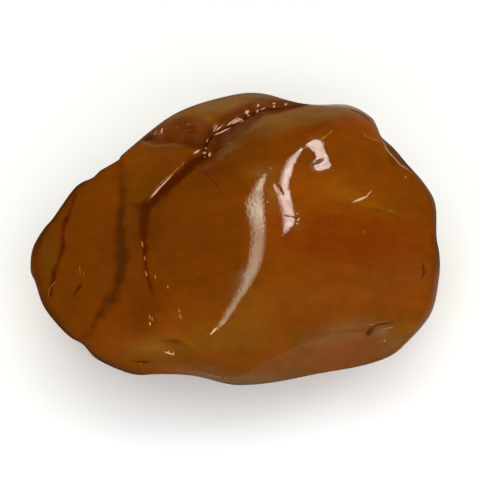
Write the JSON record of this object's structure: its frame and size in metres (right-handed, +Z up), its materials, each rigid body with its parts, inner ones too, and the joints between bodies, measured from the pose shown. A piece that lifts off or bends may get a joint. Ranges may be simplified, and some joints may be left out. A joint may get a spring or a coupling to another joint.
{
  "type": "yellow jade pebble",
  "caption": "Ornamental yellow jade pebble: a polished, irregular natural stone with worn facets, a ledge, an open fracture near its top and a flat underside to rest on.",
  "frame": {"origin": "bottom centre of the bounding box, on the flat underside", "axes": "+X along the stone's length, +Y to the back, away from the broad face, +Z up"},
  "size_m": [0.0702, 0.055, 0.0348],
  "materials": {
    "jade": "high wet-looking polish, amber brown to olive yellow, with dark veins"
  },
  "bodies": {
    "root": {"pebble": "jade"}
  },
  "joints": []
}
